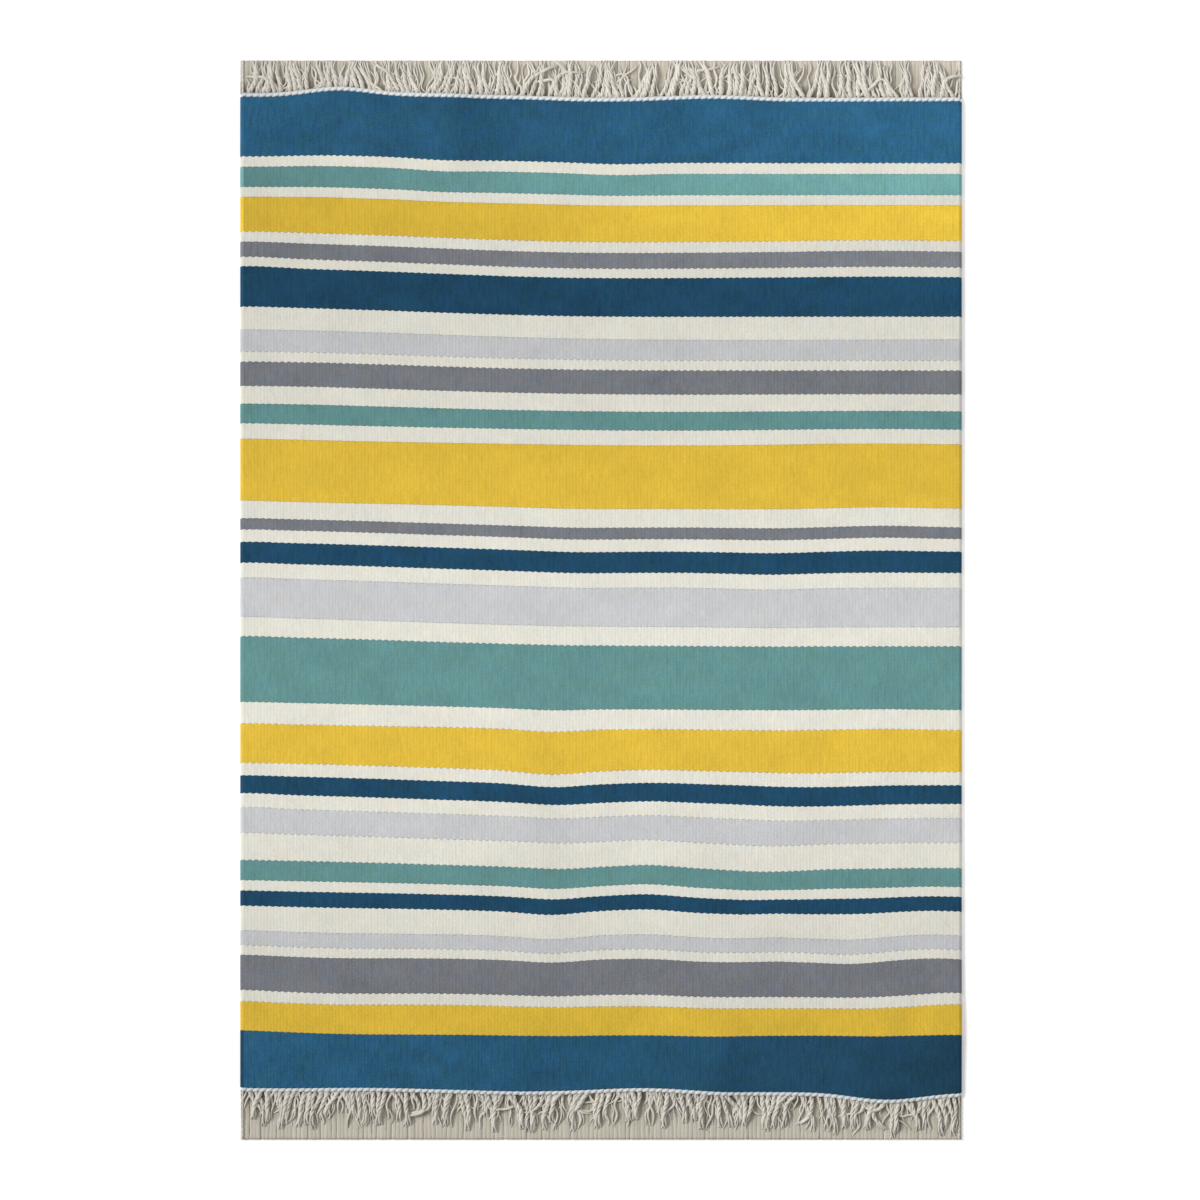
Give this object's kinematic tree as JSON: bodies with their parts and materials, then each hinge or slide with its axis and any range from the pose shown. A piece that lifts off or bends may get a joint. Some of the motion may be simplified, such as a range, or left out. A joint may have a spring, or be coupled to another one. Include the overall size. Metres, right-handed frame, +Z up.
{
  "type": "bath mat",
  "caption": "Flat-woven striped cotton bath mat, weft bands packed round a warp, a twined cord at each end and a loose warp fringe; it folds in half.",
  "frame": {"origin": "middle of the underside, on the floor", "axes": "+X across the width, +Y along the length towards the end with the shorter fringe, +Z up"},
  "size_m": [0.6, 0.8974, 0.004],
  "materials": {
    "weft_blue": "matte cotton weft, mid blue",
    "weft_navy": "matte cotton weft, navy",
    "weft_teal": "matte cotton weft, grey teal",
    "weft_yellow": "matte cotton weft, mustard yellow",
    "weft_grey": "matte cotton weft, mid grey",
    "weft_silver": "matte cotton weft, silver grey",
    "weft_cream": "matte cotton weft, cream",
    "end_cord": "bleached cotton cord",
    "warp": "unbleached cotton yarn"
  },
  "bodies": {
    "near_half": {"weft_23_silver": "weft_silver", "weft_24_cream": "weft_cream", "weft_25_teal": "weft_teal", "weft_26_cream": "weft_cream", "weft_27_yellow": "weft_yellow", "weft_28_cream": "weft_cream", "weft_29_navy": "weft_navy", "weft_30_cream": "weft_cream", "weft_31_silver": "weft_silver", "weft_32_cream": "weft_cream", "weft_33_teal": "weft_teal", "weft_34_cream": "weft_cream", "weft_35_navy": "weft_navy", "weft_36_cream": "weft_cream", "weft_37_silver": "weft_silver", "weft_38_cream": "weft_cream", "weft_39_grey": "weft_grey", "weft_40_cream": "weft_cream", "weft_41_yellow": "weft_yellow", "weft_42_blue": "weft_blue", "twined_cord_near": "end_cord", "warp_and_fringe_near": "warp", "selvedge_cord_left_near": "warp", "selvedge_cord_right_near": "warp"},
    "far_half": {"weft_01_blue": "weft_blue", "weft_02_cream": "weft_cream", "weft_03_teal": "weft_teal", "weft_04_cream": "weft_cream", "weft_05_yellow": "weft_yellow", "weft_06_cream": "weft_cream", "weft_07_grey": "weft_grey", "weft_08_cream": "weft_cream", "weft_09_navy": "weft_navy", "weft_10_cream": "weft_cream", "weft_11_silver": "weft_silver", "weft_12_cream": "weft_cream", "weft_13_grey": "weft_grey", "weft_14_cream": "weft_cream", "weft_15_teal": "weft_teal", "weft_16_cream": "weft_cream", "weft_17_yellow": "weft_yellow", "weft_18_cream": "weft_cream", "weft_19_grey": "weft_grey", "weft_20_cream": "weft_cream", "weft_21_navy": "weft_navy", "weft_22_cream": "weft_cream", "twined_cord_far": "end_cord", "warp_and_fringe_far": "warp", "selvedge_cord_left_far": "warp", "selvedge_cord_right_far": "warp"}
  },
  "joints": [
    {"name": "fold", "type": "hinge", "parent": "near_half", "child": "far_half", "pos_m": [0, 0.012, 0.007], "axis": [1, 0, 0], "range_deg": [0, 178]}
  ]
}
